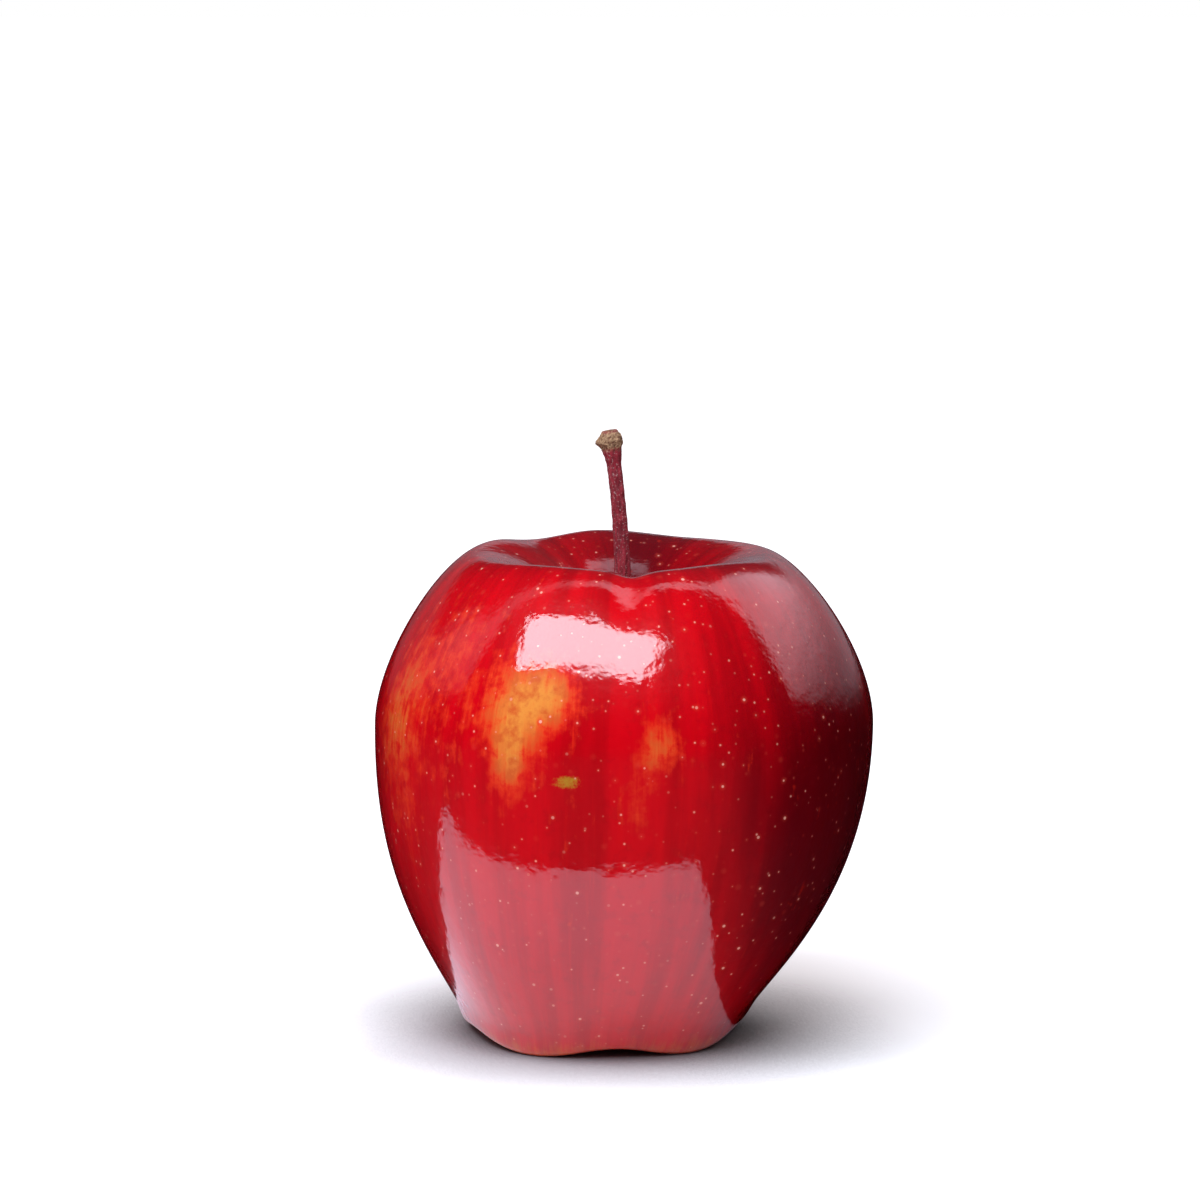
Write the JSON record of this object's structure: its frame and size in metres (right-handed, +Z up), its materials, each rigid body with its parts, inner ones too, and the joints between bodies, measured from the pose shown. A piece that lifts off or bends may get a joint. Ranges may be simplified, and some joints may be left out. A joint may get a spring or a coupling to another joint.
{
  "type": "apple",
  "caption": "Tapered red dessert apple with lobed crown, hollow stalk cavity, slim woody stalk and dried flower in the calyx basin.",
  "frame": {"origin": "on the surface the fruit stands on, under the middle of the fruit, where the line up through the stalk pit meets it", "axes": "+Z up from the crown to the stalk; -Y is the front, a shallow furrow between two lobes; +X to the right seen from the front"},
  "size_m": [0.0765, 0.0768, 0.0938],
  "materials": {
    "apple_skin": "gloss",
    "stalk_bark": "matte",
    "dried_sepal": "matte",
    "dried_stamen": "matte"
  },
  "bodies": {
    "root": {"fruit": "apple_skin", "stalk": "stalk_bark", "sepal_1": "dried_sepal", "sepal_2": "dried_sepal", "sepal_3": "dried_sepal", "sepal_4": "dried_sepal", "sepal_5": "dried_sepal", "stamens": "dried_stamen"}
  },
  "joints": []
}
